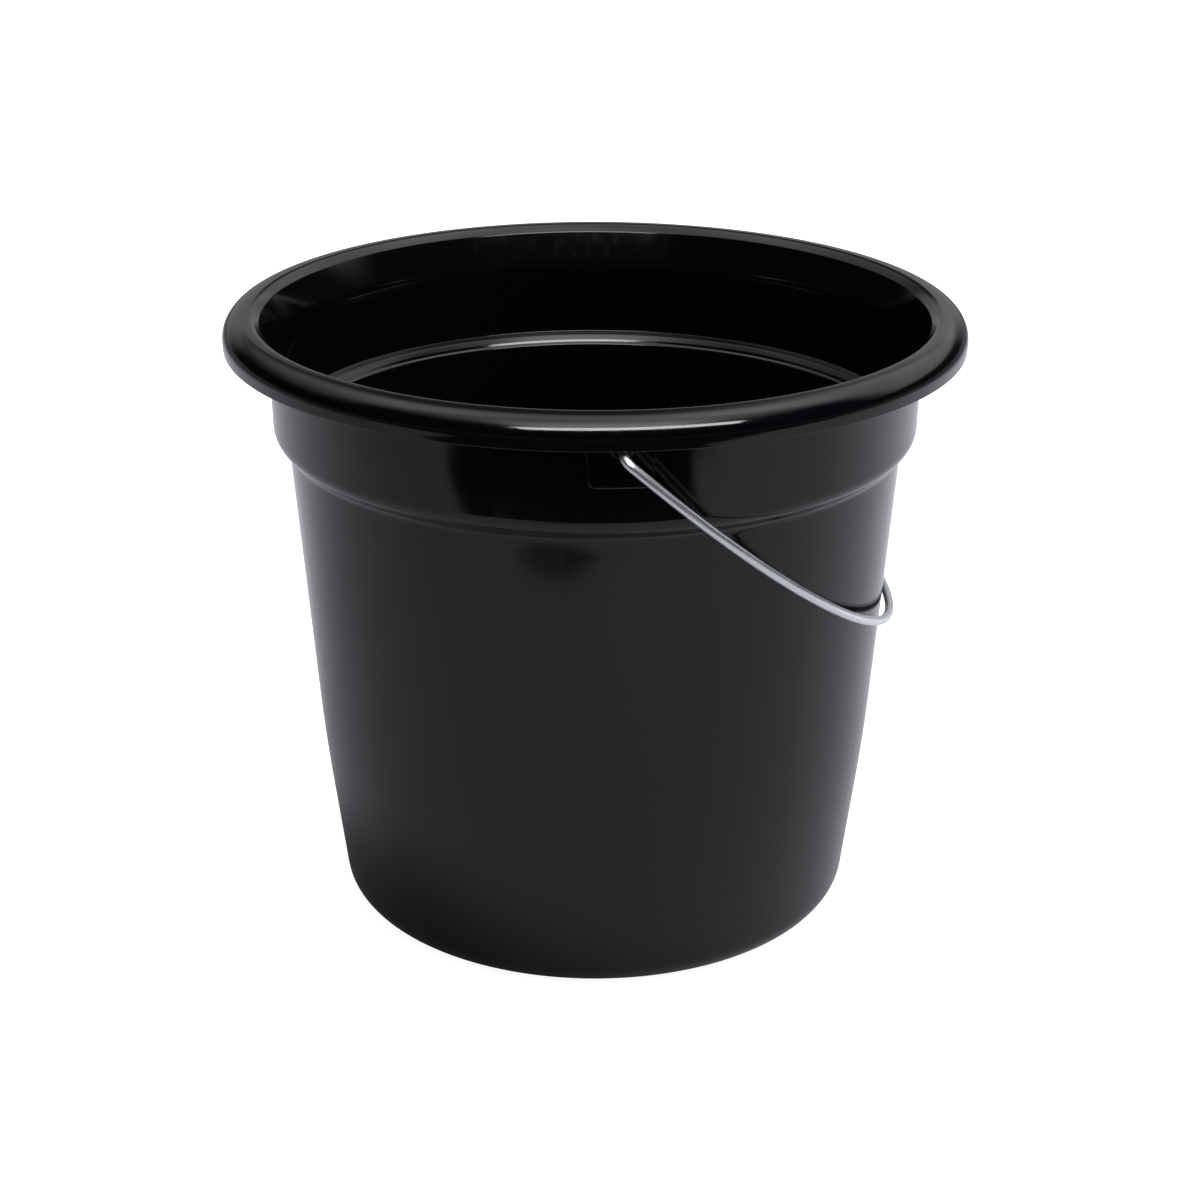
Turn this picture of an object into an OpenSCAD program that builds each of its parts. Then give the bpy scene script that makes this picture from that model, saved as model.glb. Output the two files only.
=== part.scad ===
// Florist bucket: one moulded plastic shell with a stepped collar and a rolled rim,
// and a bent wire bail that swings in two blind sockets under the rim.
// Millimetres. The origin is the centre of the base, +Z is up, the bail turns about Y
// and rests against the +X side of the wall.

/* [Shell] */
// Widest diameter, over the rolled rim
rim_d = 299.5; // [298:0.5:301]
// Height to the top of the rolled rim
height = 253.8; // [253:0.2:255]
// Thickness of the wall, the floor and the rim
wall_t = 2.0; // [1.8:0.1:2.2]
// Diameter where the lower wall's line meets the ground
base_d = 213.2; // [208:0.2:216]
// Outer radius of the rounded edge round the base
base_edge_r = 12; // [9:0.5:13]
// Height of the knee, above which the wall is steeper
knee_z = 72; // [60:1:84]
// Diameter at the knee
knee_d = 231; // [228:0.5:233]
// Diameter of the collar at its lower edge
collar_d = 262.2; // [261.4:0.2:263]
// Height of the collar's lower edge
collar_z = 205.2; // [202:0.2:208]
// Diameter of the wall just under the collar
waist_d = 250.4; // [248:0.4:252]
// Height of the foot of the step under the collar
waist_z = 199.9; // [197:0.1:201]

/* [Foot] */
// Inner diameter of the foot ring that the bucket stands on
foot_d = 176; // [160:1:180]
// Height of the floor's underside above the ground
foot_h = 2.0; // [1:0.2:3]

/* [Rim] */
// Outer radius of the roll on its outer side
roll_r = 8.6; // [8.2:0.1:9]
// Height of the rim's lower edge
skirt_z = 241.6; // [241:0.1:242.2]
// Height at which the collar starts to flare out into the roll
roll_start_z = 237.2; // [236:0.2:238]
// Diameter of the rim's inner edge, on its underside
lip_d = 273.2; // [272.6:0.2:273.8]
// Height of the rim's inner edge, on its underside
lip_z = 249.8; // [249.4:0.1:250.2]
// Diameter at which the rim is highest, on its underside
crest_d = 277.8; // [277:0.2:278.6]

/* [Ears] */
// Height of the bail's pivot
pivot_z = 239; // [238.6:0.1:239]
// Width of an ear pad at its lower end
pad_w = 22.8; // [18:0.2:24]
// Width of an ear pad under the rim
pad_top_w = 26.4; // [24.4:0.2:30]
// Height of an ear pad's lower end
pad_z = 222.3; // [218:0.1:226]
// How far an ear pad stands proud of the collar
pad_t = 2.0; // [1.4:0.1:2.4]
// Outer diameter of the socket that the wire turns in
boss_d = 8.4; // [7.6:0.2:9]
// Distance of a socket's mouth from the bucket's axis
boss_r = 138.2; // [138:0.2:139.4]
// Bore of a socket
bore_d = 4.2; // [4.1:0.05:4.4]

/* [Bail] */
// Diameter of the wire
wire_d = 3.6; // [3.2:0.1:3.6]
// Radius of the bail's arc, to the middle of the wire
bail_r = 152.6; // [152.6:0.1:154]
// Distance from the pivot to the centre of the arc
bail_leg = 10.5; // [8:0.1:10.5]
// Radius of the bend between a leg and its pin, to the middle of the wire
bend_r = 3.8; // [3.4:0.1:4]
// Angle below level at which the bail rests against the wall
rest_tilt = 41.5; // [38:0.1:41.5]

/* [Hidden] */
$fn = 180;

arc_steps = 8;                              // straight pieces in one rounded corner
roll_steps = 12;                            // straight pieces in a quarter of the roll
knee_r = 750;                               // the wall's soft bend at the knee
step_top_r = 8;                             // rounding where the collar turns in
step_foot_r = 5;                            // rounding where the step meets the wall
foot_edge_r = 1.2;                          // rounding of the foot ring's inner edge
foot_slope = 3;                             // how far the foot ring's inner face leans
skirt_edge_r = 0.4;                         // rounding of the rim's lower outer edge
skirt_lean = 0.15;                          // the rim's lower edge turns in by this much
collar_lean = 0.8;                          // the collar's draft, on its radius
flare_r = 12;                               // rounding where the collar flares out into the rim
lip_r = 1.2;                                // rounding of the rim's inner edge
crest_r = 1.5;                              // rounding of the crest, on its underside
crest_fall = 0.1;                           // how far the rim drops from its crest to the roll
gate_d = 9;                                 // moulding gate under the floor
gate_h = 0.8;
pad_corner_r = 2;                           // rounding of a pad's lower corners
pad_bevel = 0.8;                            // bevel along a pad's lower edge
socket_floor = 1.3;                         // plastic left behind a socket
pin_gap = 1;                                // end play between a pin and its socket
pad_full_z = 241;                           // height at which a pad is at its full width
pad_end_z = 246.4;                          // top of a pad's face, inside the rim
web_drop = 1.4;                             // from the top of the rim down to the end of a socket's web

rim_r = rim_d / 2;
roll_x = rim_r - roll_r;                    // radius of the middle of the roll
roll_z = height - crest_fall - roll_r;      // height of the middle of the roll
neck_r = collar_d / 2 + collar_lean;        // collar's outer radius where the flare starts
pad_face_r = neck_r + pad_t;

// Outer face from the middle of the floor up and under the rim to the roll, as [radius, height, rounding]
SKIN = [
    [0, foot_h, 0],
    [foot_d / 2 - foot_slope, foot_h, foot_edge_r],
    [foot_d / 2, 0, foot_edge_r],
    [base_d / 2, 0, base_edge_r],
    [knee_d / 2, knee_z, knee_r],
    [waist_d / 2, waist_z, step_foot_r],
    [collar_d / 2, collar_z, step_top_r],
    [neck_r, roll_start_z, flare_r],
    [lip_d / 2, lip_z, 0.4],
    [crest_d / 2, height - wall_t, crest_r],
    [roll_x, roll_z + roll_r - wall_t, 0]
];
STEP = 5;                                   // places in SKIN of the step's foot,
NECK = 7;                                   // of the start of the flare
LIP = 8;                                    // and of the rim's inner edge

// Points along the ledge inside the step, from foot to top: shares of its width and height, rounding
LEDGE = [[0, 0.12, 1], [0.17, 0.25, 1], [0.27, 0.45, 1], [0.54, 0.79, 1], [1, 1, 0.4]];

function unit(v) = v / norm(v);
function left_of(v) = [-v[1], v[0]];
function xy(p) = [p[0], p[1]];
function turn(a, b, c) = let (u = unit(b - a), v = unit(c - b)) u[0] * v[1] - u[1] * v[0];

// Points of the rounded corner at b, on the way from a to c
function corner(a, b, c, r) =
    r == 0 ? [b] :
    let (
        u = unit(b - a),
        v = unit(c - b),
        bend = acos(u * v),
        side = turn(a, b, c) > 0 ? 1 : -1,
        centre = b - u * r * tan(bend / 2) + left_of(u) * r * side
    )
    [for (i = [0:arc_steps])
        let (t = bend * i / arc_steps)
        centre + r * (u * sin(t) - left_of(u) * side * cos(t))];

// A path of [x, y, rounding] with every corner rounded
function rounded(path) = [
    for (i = [0:len(path) - 1])
        each (i == 0 || i == len(path) - 1)
            ? [xy(path[i])]
            : corner(xy(path[i - 1]), xy(path[i]), xy(path[i + 1]), path[i][2])
];

// The same path moved d to its left, with the roundings kept concentric
function inset(path, d) = [
    for (i = [0:len(path) - 1])
        let (
            a = xy(path[max(i - 1, 0)]),
            b = xy(path[i]),
            c = xy(path[min(i + 1, len(path) - 1)]),
            n1 = i == 0 ? left_of(unit(c - b)) : left_of(unit(b - a)),
            n2 = i == len(path) - 1 ? n1 : left_of(unit(c - b)),
            p = b + d * (n1 + n2) / (1 + n1 * n2),
            r = path[i][2],
            grown = (n1 * n2 > 0.99999) ? r : r - d * (turn(a, b, c) > 0 ? 1 : -1)
        )
        [p[0], p[1], r == 0 ? 0 : max(grown, 0.4)]
];

// The inner face: SKIN moved by the wall's thickness, with a creased ledge in place of the
// step's straight slope and a crisp edge inside the rim
function inside() = let (
    path = inset(SKIN, wall_t),
    foot = xy(path[STEP]),
    size = xy(path[STEP + 1]) - foot
) [
    for (i = [0:STEP - 1]) path[i],
    for (p = LEDGE) [foot[0] + size[0] * p[0], foot[1] + size[1] * p[1], p[2]],
    path[NECK],
    [each xy(path[LIP]), lip_r],
    for (i = [LIP + 1:len(path) - 1]) path[i]
];

// The roll, d above its underside, from its top out and down
function roll(d) = [
    for (i = [0:roll_steps])
        let (t = 90 - 90 * i / roll_steps)
        [roll_x, roll_z] + (roll_r - wall_t + d) * [cos(t), sin(t)]
];

// Middle of the wall's thickness at one of SKIN's corners
function mid_wall(i) = xy(inset(SKIN, wall_t / 2)[i]);

function tail(list) = [for (i = [1:len(list) - 1]) list[i]];
function all_but_last(list) = [for (i = [0:len(list) - 2]) list[i]];
function reversed(list) = [for (i = [len(list) - 1:-1:0]) list[i]];

module bucket_section() {
    outer_edge = corner(
        [rim_r - skirt_lean - wall_t, skirt_z],
        [rim_r - skirt_lean, skirt_z],
        [rim_r, roll_z],
        skirt_edge_r
    );
    polygon(concat(
        rounded(SKIN),
        tail(roll(0)),
        [[rim_r - skirt_lean - wall_t, skirt_z]],
        outer_edge,
        reversed(roll(wall_t)),
        reversed(all_but_last(rounded(inside())))
    ));
}

// A flat shape in x and z, pushed out along +Y from the axis
module along_y(from, to) {
    translate([0, to, 0]) rotate([90, 0, 0]) linear_extrude(to - from) children();
}

module pad() {
    low = [-pad_w / 2, pad_z];
    high = [-pad_top_w / 2, pad_full_z];
    intersection() {
        rotate_extrude() polygon(concat(
            [[neck_r - wall_t / 2, pad_z], [pad_face_r - pad_bevel, pad_z], [pad_face_r, pad_z + pad_bevel]],
            [[pad_face_r, pad_end_z], mid_wall(NECK)]
        ));
        along_y(neck_r - 2 * wall_t, pad_face_r + 1) polygon(concat(
            [[pad_top_w / 2, height], [-pad_top_w / 2, height], high],
            corner(high, low, [pad_w / 2, pad_z], pad_corner_r),
            corner(low, [pad_w / 2, pad_z], [pad_top_w / 2, pad_full_z], pad_corner_r),
            [[pad_top_w / 2, pad_full_z]]
        ));
    }
}

// The socket's round boss, with a web that joins it to the underside of the roll
module socket() {
    along_y(neck_r - wall_t / 2, boss_r) translate([0, pivot_z]) circle(d = boss_d);
    intersection() {
        rotate_extrude() polygon(concat(
            [[neck_r - wall_t / 2, pivot_z], [boss_r, pivot_z]],
            [[boss_r, height - web_drop], mid_wall(LIP), mid_wall(NECK)]
        ));
        along_y(neck_r - 2 * wall_t, boss_r + 1) translate([-boss_d / 2, pivot_z])
            square([boss_d, roll_r * 2]);
    }
}

module ear() {
    pad();
    socket();
}

module bucket_shell() {
    color([0.08, 0.08, 0.09])
    difference() {
        union() {
            rotate_extrude() bucket_section();
            ear();
            mirror([0, 1, 0]) ear();
            translate([0, 0, foot_h - gate_h]) cylinder(d = gate_d, h = gate_h + wall_t / 2);
        }
        for (side = [0, 180])
            rotate([0, 0, side])
                along_y(neck_r - wall_t + socket_floor, boss_r + 1)
                    translate([0, pivot_z]) circle(d = bore_d);
    }
}

// One end of the bail: the pin in its socket, the bend and the straight leg
module bail_end() {
    pin_start = neck_r - wall_t + socket_floor + pin_gap;
    translate([0, pin_start, 0]) rotate([-90, 0, 0])
        cylinder(d = wire_d, h = bail_r - bend_r - pin_start);
    translate([bend_r, bail_r - bend_r, 0]) rotate([0, 0, 90])
        rotate_extrude(angle = 90) translate([bend_r, 0]) circle(d = wire_d);
    translate([bend_r, bail_r, 0]) rotate([0, 90, 0])
        cylinder(d = wire_d, h = bail_leg - bend_r);
}

module bail_wire() {
    color([0.75, 0.76, 0.78])
    translate([0, 0, pivot_z]) rotate([0, rest_tilt, 0]) {
        bail_end();
        mirror([0, 1, 0]) bail_end();
        translate([bail_leg, 0, 0]) rotate([0, 0, -90])
            rotate_extrude(angle = 180) translate([bail_r, 0]) circle(d = wire_d);
    }
}

bucket_shell();
bail_wire();
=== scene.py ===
import math

import bpy
import numpy as np
from mathutils import Matrix, Vector


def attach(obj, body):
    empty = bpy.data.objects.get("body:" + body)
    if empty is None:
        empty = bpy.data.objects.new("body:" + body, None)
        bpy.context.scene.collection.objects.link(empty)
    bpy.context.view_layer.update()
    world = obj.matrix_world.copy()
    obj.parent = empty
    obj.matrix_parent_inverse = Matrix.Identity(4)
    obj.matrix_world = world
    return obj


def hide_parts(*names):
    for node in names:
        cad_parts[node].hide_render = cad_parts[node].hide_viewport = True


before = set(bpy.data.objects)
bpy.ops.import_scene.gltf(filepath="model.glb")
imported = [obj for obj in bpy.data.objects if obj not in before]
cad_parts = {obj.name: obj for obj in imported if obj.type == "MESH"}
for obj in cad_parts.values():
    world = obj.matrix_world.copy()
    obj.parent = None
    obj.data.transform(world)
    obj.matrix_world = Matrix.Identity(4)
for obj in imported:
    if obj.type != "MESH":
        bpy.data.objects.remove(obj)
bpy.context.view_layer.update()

# Shapes are worked out in millimetres, as in the CAD, and become metres in new_mesh().
# +Z is up, the ears lie on the Y axis, and the bail rests against the +X side.
MM = 0.001

# ---------------------------------------------------------------- sizes, as in the CAD

RIM_R = 149.75
HEIGHT = 253.8
WALL = 2.0
FOOT_H = 2.0
GATE_R = 4.5
GATE_H = 0.8
ROLL_R = 8.6
SKIRT_Z = 241.6
SKIRT_LEAN = 0.15
SKIRT_EDGE_R = 0.4
NECK_R = 131.9
FLARE_START_Z = 237.2
LIP_EDGE_R = 1.2
CREST_FALL = 0.1

ROLL_X = RIM_R - ROLL_R
ROLL_Z = HEIGHT - CREST_FALL - ROLL_R

# Outer face from the moulding gate up and under the rim to the roll, as radius, height, rounding
GATE = [(0, FOOT_H - GATE_H, 0), (GATE_R, FOOT_H - GATE_H, 0.3), (GATE_R, FOOT_H, 0.2)]
SKIN = [
    (0, FOOT_H, 0),
    (85, FOOT_H, 1.2),
    (88, 0, 1.2),
    (106.6, 0, 12),
    (115.5, 72, 750),
    (125.2, 199.9, 5),
    (131.1, 205.2, 8),
    (NECK_R, FLARE_START_Z, 12),
    (136.6, 249.8, 0.4),
    (138.9, HEIGHT - WALL, 1.5),
    (ROLL_X, ROLL_Z + ROLL_R - WALL, 0),
]
STEP, NECK, LIP = 5, 7, 8

# Points along the ledge inside the step, from foot to top: shares of its width and height, rounding
LEDGE = [(0, 0.12, 1), (0.17, 0.25, 1), (0.27, 0.45, 1), (0.54, 0.79, 1), (1, 1, 0.4)]

PIVOT_Z = 239
PAD_Z = 222.3
PAD_FULL_Z = 241
PAD_HALF_W = 11.4
PAD_FULL_HALF_W = 13.2
PAD_MIDDLE_HALF_W = (PAD_HALF_W + PAD_FULL_HALF_W) / 2
PAD_FACE_R = 133.9
PAD_CORNER_R = 2
PAD_EDGE = 0.35  # half the width of the soft edge round a pad
BOSS_R = 138.2
BOSS_HALF_W = 4.2
BORE_HALF_W = 2.1
BORE_FLOOR_R = 131.2

WIRE_HALF_W = 1.8
BAIL_R = 152.6
BAIL_LEG = 10.5
BEND_R = 3.8
PIN_START = 132.2
REST_TILT = math.radians(41.5)

# ---------------------------------------------------------------- curves in a plane


def unit(v):
    return v / np.linalg.norm(v)


def left_of(v):
    return np.array([-v[1], v[0]])


def turns_left(u, v):
    return u[0] * v[1] - u[1] * v[0] > 0


def corner(a, b, c, r):
    """Points of the corner at b, rounded to radius r, on the way from a to c."""
    a, b, c = (np.array(p[:2], float) for p in (a, b, c))
    if r == 0:
        return [b]
    u, v = unit(b - a), unit(c - b)
    side = 1 if turns_left(u, v) else -1
    bend = math.acos(np.clip(u @ v, -1, 1))
    centre = b - u * r * math.tan(bend / 2) + left_of(u) * r * side
    steps = max(4, math.ceil(math.degrees(bend) / 6))
    return [
        centre + r * (u * math.sin(t) - left_of(u) * side * math.cos(t))
        for t in np.linspace(0, bend, steps + 1)
    ]


def rounded(path):
    """A path of x, y, rounding with every inner corner rounded."""
    inner = [corner(*three, three[1][2]) for three in zip(path, path[1:], path[2:])]
    first, last = np.array(path[0][:2], float), np.array(path[-1][:2], float)
    return [first] + [p for arc in inner for p in arc] + [last]


def inset(path, d):
    """The same path moved d to its left, with the roundings kept concentric."""
    points = [np.array(p[:2], float) for p in path]
    ways = [unit(b - a) for a, b in zip(points, points[1:])]
    moved = []
    for i, (p, full) in enumerate(zip(points, path)):
        u, v = ways[max(i - 1, 0)], ways[min(i, len(ways) - 1)]
        n1, n2 = left_of(u), left_of(v)
        place = p + d * (n1 + n2) / (1 + n1 @ n2)
        grown = full[2] - d if turns_left(u, v) else full[2] + d
        moved.append((*place, max(grown, 0.4) if full[2] else 0))
    return moved


def inside_path():
    """SKIN moved in by the wall, with a creased ledge inside the step and a crisp edge in the rim."""
    path = inset(SKIN, WALL)
    foot, top = (np.array(p[:2]) for p in path[STEP : STEP + 2])
    ledge = [(*(foot + (top - foot) * share), r) for *share, r in LEDGE]
    lip = (*path[LIP][:2], LIP_EDGE_R)
    return path[:STEP] + ledge + [path[NECK], lip] + path[LIP + 1 :]


def roll(r):
    """The roll's outer side at radius r, from its top out and down."""
    turns = np.linspace(math.pi / 2, 0, 25)
    return [np.array([ROLL_X + r * math.cos(t), ROLL_Z + r * math.sin(t)]) for t in turns]


def outer_section():
    """The shell's outer face, from the gate under the floor to the underside of the roll's top."""
    return rounded(GATE + SKIN[1:])


def inner_section():
    """The rest of the section: the skirt, the top of the rim and the inside down to the floor."""
    skirt_r = RIM_R - SKIRT_LEAN
    tip = (skirt_r - WALL, SKIRT_Z)
    edge = corner(tip, (skirt_r, SKIRT_Z), (RIM_R, ROLL_Z), SKIRT_EDGE_R)
    inside = rounded(inside_path())[:-1]
    return roll(ROLL_R - WALL)[1:] + [np.array(tip)] + edge + roll(ROLL_R)[::-1] + inside[::-1]


def split_long(points, limit):
    """Adds points so that no stretch is longer than limit says for its middle."""
    result = [points[0]]
    for a, b in zip(points, points[1:]):
        count = max(1, math.ceil(np.linalg.norm(b - a) / limit((a + b) / 2)))
        result += [a + (b - a) * i / count for i in range(1, count + 1)]
    return np.array(result)


# ---------------------------------------------------------------- meshes


def new_mesh(name, points, faces):
    """A smooth-shaded object from points in millimetres."""
    mesh = bpy.data.meshes.new(name)
    mesh.from_pydata((np.asarray(points) * MM).tolist(), [], faces)
    mesh.shade_smooth()
    obj = bpy.data.objects.new(name, mesh)
    bpy.context.scene.collection.objects.link(obj)
    return obj


def loft(rings, closed_ends=True):
    """Faces between rings of equal size, with an n-gon at each end."""
    rows, size = len(rings), len(rings[0])
    faces = [
        (i * size + j, i * size + (j + 1) % size, (i + 1) * size + (j + 1) % size, (i + 1) * size + j)
        for i in range(rows - 1)
        for j in range(size)
    ]
    if closed_ends:
        faces += [tuple(range(size))[::-1], tuple(range((rows - 1) * size, rows * size))]
    return np.concatenate(rings), faces


def section_limit(middle):
    """Longest stretch of the outer face between two rows of points: shortest at a pad's lower edge."""
    radius, z = middle
    wide, beside_pad, at_pad_edge = 5, 1.2, 0.25
    if radius < NECK_R - 3 or z < PAD_Z - 1.4:
        return wide
    return at_pad_edge if z < PAD_Z + 2.6 else beside_pad


def ring_columns():
    """Ear, direction and angle from that ear for each column of points round the shell."""
    fine_from, fine_to = PAD_MIDDLE_HALF_W - 1.4, PAD_MIDDLE_HALF_W + 1.2
    steps = [*np.linspace(0, fine_from, 9), *np.linspace(fine_from, fine_to, 14)[1:]]
    quarter = PAD_FACE_R * math.pi / 2
    gap, growth, widest = 0.25, 1.2, 2.8
    while steps[-1] + gap < quarter:
        steps.append(steps[-1] + gap)
        gap = min(gap * growth, widest)
    steps = np.array(steps[:-1]) / PAD_FACE_R
    columns = []
    for ear in (-math.pi / 2, math.pi / 2):
        columns += [(ear, 1, s) for s in steps]
        columns += [(ear, 1, math.pi / 2)]
        columns += [(ear + math.pi, -1, s) for s in steps[:0:-1]]
    return np.array(columns).T


def pad_half_width(z):
    share = np.clip((z - PAD_Z) / (PAD_FULL_Z - PAD_Z), 0, 1)
    return PAD_HALF_W + (PAD_FULL_HALF_W - PAD_HALF_W) * share


def lean_with_pad(offset, z):
    """Moves the columns near an ear sideways, so that they run along the pad's slanted sides."""
    middle = PAD_MIDDLE_HALF_W
    full_to, fades_to = middle + 2, middle + 22
    along = offset * PAD_FACE_R
    share = np.interp(along, [0, middle, full_to, fades_to], [0, 1, 1, 0])
    return (along + (pad_half_width(z) - middle) * share) / PAD_FACE_R


def pad_share(offset, z):
    """How much of the pad's height stands at a point: 0 off the pad, 1 on it, rounded at its edges."""
    side = np.abs(offset * PAD_FACE_R) - pad_half_width(z)
    below = np.full_like(side, PAD_Z - z)
    corner_x, corner_z = side + PAD_CORNER_R, below + PAD_CORNER_R
    outside = np.hypot(np.maximum(corner_x, 0), np.maximum(corner_z, 0))
    distance = outside + np.minimum(np.maximum(corner_x, corner_z), 0) - PAD_CORNER_R
    share = np.clip((PAD_EDGE - distance) / (2 * PAD_EDGE), 0, 1)
    return share * share * (3 - 2 * share)


def revolved_shell():
    """The shell as one closed surface, with the pads raised out of the collar."""
    outer = split_long(outer_section(), section_limit)
    inner = split_long([outer[-1]] + inner_section(), lambda middle: 6)[1:]
    section = np.concatenate([outer, inner])
    ear, way, offset = ring_columns()
    rings = []
    for i, (radius, z) in enumerate(section[1:-1], 1):
        place = lean_with_pad(offset, z)
        radii = np.full_like(place, radius)
        if i < len(outer) and z > PAD_Z - 2 * PAD_EDGE and radius < PAD_FACE_R:
            radii += (PAD_FACE_R - radius) * pad_share(place, z)
        angle = ear + way * place
        rings.append(np.stack([radii * np.cos(angle), radii * np.sin(angle), np.full_like(radii, z)], 1))
    points, faces = loft(rings, closed_ends=False)
    size, count = len(rings[0]), len(points)
    points = np.concatenate([points, [(0, 0, section[0][1]), (0, 0, section[-1][1])]])
    faces += [(count, (j + 1) % size, j) for j in range(size)]
    faces += [(count + 1, count - size + j, count - size + (j + 1) % size) for j in range(size)]
    return new_mesh("shell", points, faces)


def rim_middle(y):
    """Height of the middle of the rim's thickness over radius y, where the socket's web ends."""
    line = np.array([p[:2] for p in inset(SKIN, WALL / 2)[NECK:]])
    lowest = PIVOT_Z + 1.5
    return max(lowest, np.interp(y, *line.T))


def socket(side):
    """The round boss and its web up to the rim, closed, on the side of +Y or -Y."""
    mouth_edge = 0.3
    root = NECK_R - 0.9
    slices = [(y, 0) for y in (root, 132.4, 133.3, 134, 135.2, 136.6, BOSS_R - mouth_edge)]
    slices += [(BOSS_R, mouth_edge)]
    turns = np.linspace(math.pi, 2 * math.pi, 25)
    rings = []
    for y, cut in slices:
        half = BOSS_HALF_W - cut
        top = rim_middle(y)
        outline = [(-half, top)] + [(half * math.cos(t), PIVOT_Z + half * math.sin(t)) for t in turns]
        outline += [(half, top)]
        rings.append(np.array([(x * side, y * side, z) for x, z in outline]))
    return new_mesh("socket", *loft(rings))


def bore(side):
    """The blind hole that a pin turns in."""
    turns = np.linspace(0, 2 * math.pi, 48, endpoint=False)
    circle = [(BORE_HALF_W * math.cos(t), BORE_HALF_W * math.sin(t)) for t in turns]
    rings = [
        np.array([(x * side, y * side, PIVOT_Z + z) for x, z in circle])
        for y in (BORE_FLOOR_R, BOSS_R + 1)
    ]
    return new_mesh("bore", *loft(rings))


def face_outwards(obj):
    """Turns the faces of a closed object outwards."""
    mesh = obj.data
    corners = np.zeros(len(mesh.vertices) * 3)
    mesh.vertices.foreach_get("co", corners)
    mesh.calc_loop_triangles()
    order = np.zeros(len(mesh.loop_triangles) * 3, int)
    mesh.loop_triangles.foreach_get("vertices", order)
    a, b, c = corners.reshape(-1, 3)[order.reshape(-1, 3)].transpose(1, 0, 2)
    if np.einsum("ij,ij->", a, np.cross(b, c)) < 0:
        mesh.flip_normals()


def combine(obj, tool, operation):
    """Adds tool to obj or cuts it away, and removes tool."""
    face_outwards(tool)
    modifier = obj.modifiers.new("combine", "BOOLEAN")
    modifier.operation = operation
    modifier.solver = "MANIFOLD"
    modifier.object = tool
    depsgraph = bpy.context.evaluated_depsgraph_get()
    result = bpy.data.meshes.new_from_object(obj.evaluated_get(depsgraph))
    obj.modifiers.clear()
    obj.data = result
    bpy.data.objects.remove(tool)


def make_shell():
    shell = revolved_shell()
    face_outwards(shell)
    for side in (1, -1):
        combine(shell, socket(side), "UNION")
        combine(shell, bore(side), "DIFFERENCE")
    shell.data.set_sharp_from_angle(angle=math.radians(38))
    return shell


def bail_path():
    """The middle of the wire, from pin to pin, as distance from the pivots' line and place along it."""
    side = [(0, -y) for y in np.linspace(PIN_START, BAIL_R - BEND_R, 8)]
    for t in np.linspace(0, math.pi / 2, 15)[1:]:
        side.append((BEND_R - BEND_R * math.cos(t), BEND_R - BAIL_R - BEND_R * math.sin(t)))
    side += [(u, -BAIL_R) for u in np.linspace(BEND_R, BAIL_LEG, 4)[1:]]
    arc = [
        (BAIL_LEG + BAIL_R * math.sin(t), -BAIL_R * math.cos(t))
        for t in np.linspace(0, math.pi, 181)[1:-1]
    ]
    return np.array(side + arc + [(u, -y) for u, y in side[::-1]])


def make_bail():
    """The wire as a tube swept along its path, with a small chamfer at each end."""
    path = bail_path()
    ways = np.gradient(path, axis=0)
    ways /= np.linalg.norm(ways, axis=1)[:, None]
    length = np.concatenate([[0], np.cumsum(np.linalg.norm(np.diff(path, axis=0), axis=1))])
    chamfer = 0.35
    out = np.array([math.cos(REST_TILT), 0, -math.sin(REST_TILT)])
    along = np.array([0, 1, 0])
    normal = np.cross(out, along)
    turns = np.linspace(0, 2 * math.pi, 32, endpoint=False)
    stations = list(zip(path, ways, [WIRE_HALF_W] * len(path), length))
    first, last = stations[0], stations[-1]
    stations[0] = (first[0] + first[1] * chamfer, *first[1:])
    stations[-1] = (last[0] - last[1] * chamfer, *last[1:])
    stations.insert(0, (first[0], first[1], WIRE_HALF_W - chamfer, 0))
    stations.append((last[0], last[1], WIRE_HALF_W - chamfer, length[-1]))
    rings, marks = [], []
    for (u, y), (du, dy), radius, distance in stations:
        middle = u * out + y * along + np.array([0, 0, PIVOT_Z])
        across = np.cross(normal, du * out + dy * along)
        rings.append([middle + radius * (math.cos(t) * across + math.sin(t) * normal) for t in turns])
        marks += [(distance * MM, math.cos(t), math.sin(t)) for t in turns]
    bail = new_mesh("bail", *loft([np.array(r) for r in rings]))
    face_outwards(bail)
    wire = bail.data.attributes.new("along_wire", "FLOAT_VECTOR", "POINT")
    wire.data.foreach_set("vector", np.array(marks, np.float32).ravel())
    bail.data.set_sharp_from_angle(angle=math.radians(30))
    return bail


# ---------------------------------------------------------------- node helpers


def put(tree, kind, inputs=None, **settings):
    """A new node; an input is given a socket to link or a value."""
    node = tree.nodes.new(kind)
    for key, value in settings.items():
        setattr(node, key, value)
    for key, value in (inputs or {}).items():
        if isinstance(value, bpy.types.NodeSocket):
            tree.links.new(value, node.inputs[key])
        else:
            node.inputs[key].default_value = value
    return node


def calc(tree, operation, a, b=0.0, c=0.0):
    return put(tree, "ShaderNodeMath", {0: a, 1: b, 2: c}, operation=operation).outputs[0]


def ease(tree, value, start, end, low=0.0, high=1.0):
    """A soft step from low at start to high at end."""
    inputs = {"Value": value, "From Min": start, "From Max": end, "To Min": low, "To Max": high}
    return put(tree, "ShaderNodeMapRange", inputs, interpolation_type="SMOOTHSTEP").outputs["Result"]


def chain(tree, operation, *values):
    """Several values put together by one operation."""
    result = values[0]
    for value in values[1:]:
        result = calc(tree, operation, result, value)
    return result


def mix(tree, share, first, second):
    """A number part of the way from first to second."""
    return put(tree, "ShaderNodeMix", {0: share, 2: first, 3: second}).outputs[0]


def mix_colours(tree, share, first, second):
    """A colour part of the way from first to second."""
    inputs = {0: share, 6: (*first, 1), 7: (*second, 1)}
    return put(tree, "ShaderNodeMix", inputs, data_type="RGBA").outputs[2]


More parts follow.
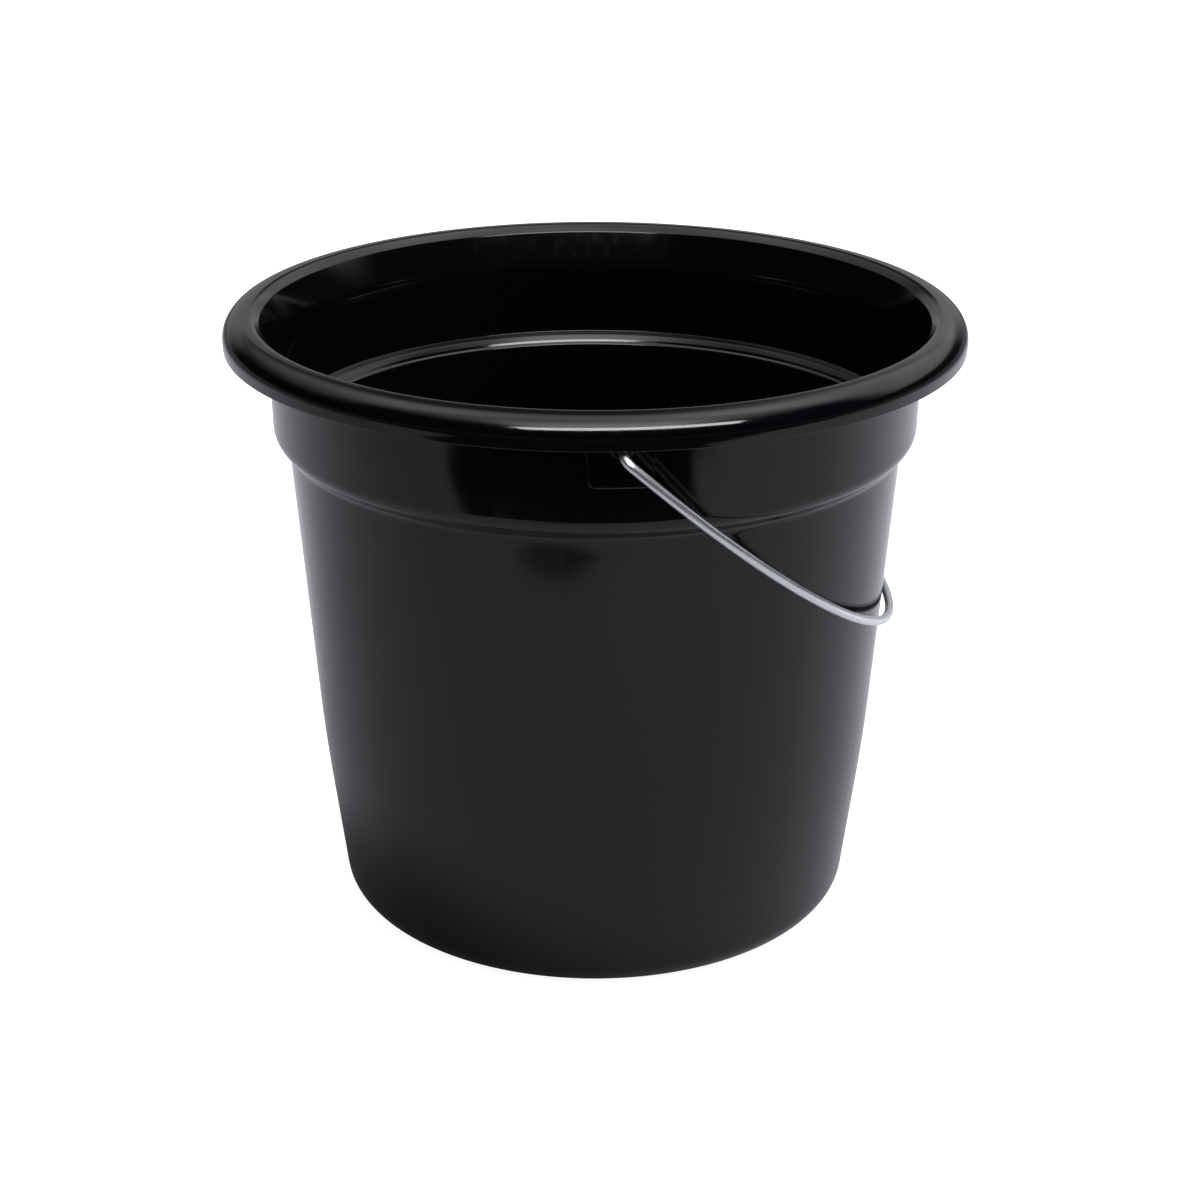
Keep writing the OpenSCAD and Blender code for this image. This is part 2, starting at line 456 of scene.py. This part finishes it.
def distance(tree, place, point=(0, 0, 0)):
    return put(tree, "ShaderNodeVectorMath", {0: place, 1: point}, operation="DISTANCE").outputs["Value"]


def noise(tree, coordinates, scale, detail=2.0, roughness=0.5):
    inputs = {"Vector": coordinates, "Scale": scale, "Detail": detail, "Roughness": roughness}
    return put(tree, "ShaderNodeTexNoise", inputs).outputs["Fac"]


def stretched(tree, coordinates, scale):
    return put(tree, "ShaderNodeMapping", {"Vector": coordinates, "Scale": scale}).outputs[0]


def bump(tree, height, depth, normal=None):
    """A surface normal disturbed by height, up to depth in metres."""
    inputs = {"Height": height, "Distance": depth, "Strength": 1.0}
    if normal is not None:
        inputs["Normal"] = normal
    return put(tree, "ShaderNodeBump", inputs).outputs["Normal"]


def new_tree(owner):
    owner.use_nodes = True
    owner.node_tree.nodes.clear()
    return owner.node_tree


# ---------------------------------------------------------------- materials


def dust_specks(tree, place):
    """1 on a few small round specks and 0 elsewhere."""
    specks = put(tree, "ShaderNodeTexVoronoi", {"Vector": place, "Scale": 55})
    pick = put(tree, "ShaderNodeSeparateColor", {"Color": specks.outputs["Color"]}).outputs["Red"]
    near = ease(tree, specks.outputs["Distance"], 0.02, 0.008)
    return calc(tree, "MULTIPLY", near, ease(tree, pick, 0.86, 0.9))


def black_plastic():
    """Glossy black polypropylene: fine grain, slight flow waves, faint scuffs and a little dust."""
    material = bpy.data.materials.new("black_plastic")
    tree = new_tree(material)
    place = put(tree, "ShaderNodeTexCoord").outputs["Object"]
    waves = bump(tree, noise(tree, place, 28, 1), 0.00012)
    grain = bump(tree, noise(tree, place, 1300, 3, 0.6), 0.000005, waves)
    dust = dust_specks(tree, place)
    plastic, dust_grey = (0.0012, 0.0011, 0.0018), (0.16, 0.16, 0.16)
    colour = mix_colours(tree, calc(tree, "MULTIPLY", dust, 0.35), plastic, dust_grey)
    streaks = noise(tree, stretched(tree, place, (1, 1, 0.06)), 260, 3)
    patches = noise(tree, place, 14, 4, 0.6)
    roughness = chain(
        tree,
        "ADD",
        ease(tree, patches, 0.3, 0.7, 0.0, 0.03),
        ease(tree, streaks, 0.45, 0.75, 0.08, 0.12),
        calc(tree, "MULTIPLY", dust, 0.3),
    )
    inputs = {"Base Color": colour, "Roughness": roughness, "Normal": grain}
    shader = put(tree, "ShaderNodeBsdfPrincipled", inputs)
    shader.inputs["IOR"].default_value = 1.5
    put(tree, "ShaderNodeOutputMaterial", {"Surface": shader.outputs[0]})
    return material


def galvanised_wire():
    """Drawn steel wire with a zinc coat: fine lines along the wire and a slightly mottled sheen."""
    material = bpy.data.materials.new("galvanised_wire")
    tree = new_tree(material)
    along = put(tree, "ShaderNodeAttribute", attribute_name="along_wire").outputs["Vector"]
    lines = noise(tree, stretched(tree, along, (25, 2.2, 2.2)), 3.0, 4, 0.65)
    mottle = noise(tree, stretched(tree, along, (220, 0.9, 0.9)), 1.6, 3)
    dull, bright = (0.9, 0.93, 0.96), (0.97, 0.98, 1.0)
    inputs = {
        "Base Color": mix_colours(tree, ease(tree, mottle, 0.3, 0.7), dull, bright),
        "Roughness": ease(tree, lines, 0.3, 0.7, 0.26, 0.4),
        "Normal": bump(tree, lines, 0.00005),
    }
    shader = put(tree, "ShaderNodeBsdfPrincipled", inputs)
    shader.inputs["Metallic"].default_value = 1.0
    put(tree, "ShaderNodeOutputMaterial", {"Surface": shader.outputs[0]})
    return material


def dress(obj, material):
    obj.data.materials.clear()
    obj.data.materials.append(material)


# ---------------------------------------------------------------- studio


def heading(tree, part, z):
    """How far a direction's level part points along one axis, from -1 to 1."""
    level = calc(tree, "SQRT", calc(tree, "SUBTRACT", 1.0001, calc(tree, "MULTIPLY", z, z)))
    return calc(tree, "DIVIDE", part, level)


def sky(tree, x, y, z):
    """Brightness of the sky: a low haze behind, both sides of the rear half, overhead and ahead."""
    width = calc(tree, "ABSOLUTE", x)
    behind = ease(tree, heading(tree, y, z), 0.75, 0.98, 0.0, 0.38)
    haze = calc(tree, "MULTIPLY", behind, ease(tree, z, 0.37, 0.27))
    raised_right = calc(tree, "MULTIPLY_ADD", x, 0.25, z)
    sides = chain(
        tree,
        "MULTIPLY",
        ease(tree, width, 0.05, 0.4, 0.06, 0.85),
        ease(tree, raised_right, 0.1, 0.75),
        ease(tree, y, -0.1, 0.25),
        ease(tree, z, 0.2, 0.3),
    )
    overhead = ease(tree, z, 0.66, 1.02, 0.01, 1.3)
    ahead = chain(
        tree,
        "MULTIPLY",
        ease(tree, y, 0.0, -0.5, 0.0, 2.4),
        ease(tree, width, 0.5, 0.2),
        ease(tree, z, 0.72, 0.82),
    )
    brighter_right = calc(tree, "MULTIPLY_ADD", heading(tree, x, z), 0.2, 1.0)
    return calc(tree, "MULTIPLY", chain(tree, "ADD", haze, sides, overhead, ahead), brighter_right)


def studio_world():
    """White to the camera, and to everything else a sky over a dim ground."""
    world = bpy.data.worlds.new("studio")
    bpy.context.scene.world = world
    tree = new_tree(world)
    direction = put(tree, "ShaderNodeTexCoord").outputs["Generated"]
    x, y, z = put(tree, "ShaderNodeSeparateXYZ", {"Vector": direction}).outputs
    ground = ease(tree, heading(tree, y, z), 0.1, 0.9, 0.1, 0.2)
    room = mix(tree, ease(tree, z, -0.02, 0.02), ground, sky(tree, x, y, z))
    seen = put(tree, "ShaderNodeLightPath").outputs["Is Camera Ray"]
    inputs = {"Color": (0.98, 1.0, 1.02, 1), "Strength": mix(tree, seen, room, 1.0)}
    light = put(tree, "ShaderNodeBackground", inputs)
    put(tree, "ShaderNodeOutputWorld", {"Surface": light.outputs[0]})


def floor_painted_shade(tree, place):
    """Painted shade on the floor, seen in the bucket's reflections: darker in front and far away, a
    painted contact shadow beside the bucket, and a small dark oval painted for a dark reflection.
    """
    depth = put(tree, "ShaderNodeSeparateXYZ", {"Vector": place}).outputs["Y"]
    # A small dark oval painted on the floor so that it shows in the bucket as a dark reflection.
    oval = {"Location": (-0.12, -0.442, 0), "Rotation": (0, 0, -0.3), "Scale": (0.13, 0.018, 1)}
    oval["Vector"] = place
    dark_reflection_spot = put(tree, "ShaderNodeMapping", oval, vector_type="TEXTURE").outputs[0]
    return chain(
        tree,
        "MULTIPLY",
        # Painted shade: darker in front, a painted contact shadow off centre to the left of the bucket,
        # and darker far away.
        ease(tree, depth, -0.3, 0.5, 0.28, 0.62),
        ease(tree, distance(tree, place, (-0.045, -0.01, 0)), 0.07, 0.15, 0.3, 1.0),
        ease(tree, distance(tree, place), 0.9, 1.8, 1.0, 0.3),
        ease(tree, distance(tree, dark_reflection_spot), 0.6, 1.2, 0.1, 1.0),
    )


def floor():
    """A pale floor, lifted nearly to white for the camera, that shows a soft contact shadow, partly cast
    by the lamps and partly painted.
    """
    half, z = 4000, -0.2
    corners = [(-half, -half, z), (half, -half, z), (half, half, z), (-half, half, z)]
    obj = new_mesh("floor", corners, [(0, 1, 2, 3)])
    material = bpy.data.materials.new("floor")
    tree = new_tree(material)
    seen = put(tree, "ShaderNodeLightPath").outputs["Is Camera Ray"]
    lift = put(tree, "ShaderNodeEmission", {"Strength": calc(tree, "MULTIPLY", seen, 0.95)})
    place = put(tree, "ShaderNodeTexCoord").outputs["Object"]
    tint = mix_colours(tree, floor_painted_shade(tree, place), (0, 0, 0), (0.97, 0.97, 1.04))
    matt = put(tree, "ShaderNodeBsdfDiffuse", {"Color": tint})
    both = put(tree, "ShaderNodeAddShader", {0: lift.outputs[0], 1: matt.outputs[0]})
    put(tree, "ShaderNodeOutputMaterial", {"Surface": both.outputs[0]})
    dress(obj, material)


def unlit_foreground_sheet():
    """A painted reflection: a dark sheet for the studio's unlit foreground beyond the floor's lit part,
    seen only in reflections.
    """
    z = 1
    areas = [  # near and far corners in metres
        ((-3.0, -3.0), (3.0, -0.63)),
        ((-0.34, -0.63), (0.3, -0.5)),
        ((-0.56, -0.63), (-0.34, -0.43)),
    ]
    points, faces = [], []
    for i, ((x1, y1), (x2, y2)) in enumerate(areas):
        outline = [(x1, y1), (x2, y1), (x2, y2), (x1, y2)]
        points += [(x / MM, y / MM, z) for x, y in outline]
        faces.append(tuple(range(4 * i, 4 * i + 4)))
    obj = new_mesh("unlit_foreground_sheet", points, faces)
    obj.visible_camera = False
    obj.visible_diffuse = False
    obj.visible_shadow = False
    material = bpy.data.materials.new("unlit_foreground_sheet")
    tree = new_tree(material)
    # A faint near-black glow, so that the sheet paints dark reflections of the unlit foreground.
    black = put(tree, "ShaderNodeEmission", {"Color": (0.02, 0.02, 0.02, 1)})
    put(tree, "ShaderNodeOutputMaterial", {"Surface": black.outputs[0]})
    dress(obj, material)


def softbox(name, place, target, size, radiance):
    """A rectangular area light of a given radiance, hidden from the camera."""
    lamp = bpy.data.lights.new(name, "AREA")
    lamp.shape = "RECTANGLE"
    lamp.size, lamp.size_y = size
    lamp.energy = radiance * math.pi * size[0] * size[1]
    obj = bpy.data.objects.new(name, lamp)
    obj.location = place
    obj.rotation_euler = (Vector(target) - Vector(place)).to_track_quat("-Z", "Y").to_euler()
    obj.visible_camera = False
    bpy.context.scene.collection.objects.link(obj)
    return obj


def camera():
    """The photograph's viewpoint: in front of the ear, 4 degrees round, looking down."""
    azimuth, distance, height = math.radians(-4), 0.97837, 0.5231
    pitch, yaw, roll = 0.3863, 0.0022, 0.0027
    level_part = math.cos(pitch)
    forward = Vector((math.sin(yaw) * level_part, math.cos(yaw) * level_part, -math.sin(pitch)))
    level = Vector((math.cos(yaw), -math.sin(yaw), 0))
    upward = level.cross(forward)
    right = math.cos(roll) * level + math.sin(roll) * upward
    up = math.cos(roll) * upward - math.sin(roll) * level
    data = bpy.data.cameras.new("camera")
    data.lens = 74.92
    data.sensor_width = 36
    obj = bpy.data.objects.new("camera", data)
    bpy.context.scene.collection.objects.link(obj)
    turned = Matrix.Rotation(azimuth, 4, "Z")
    stand = Matrix.Translation((0, -distance, height))
    obj.matrix_world = turned @ stand @ Matrix((right, up, -forward)).transposed().to_4x4()
    bpy.context.scene.camera = obj


# ---------------------------------------------------------------- the scene

camera()
studio_world()
floor()
unlit_foreground_sheet()
softbox("strip", (0.14, -1.02, 1.25), (0.04, -0.2, 0.25), (1.5, 0.28), 13.0)
key = softbox("key", (1.6, -0.3, 1.2), (0, 0, 0.1), (1.0, 1.0), 8.0)
key.visible_glossy = False

shell = make_shell()
dress(shell, black_plastic())
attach(shell, "bucket")
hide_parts("bucket_shell")

bail = make_bail()
dress(bail, galvanised_wire())
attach(bail, "bail")
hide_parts("bail_wire")

bpy.context.scene.view_settings.view_transform = "Standard"
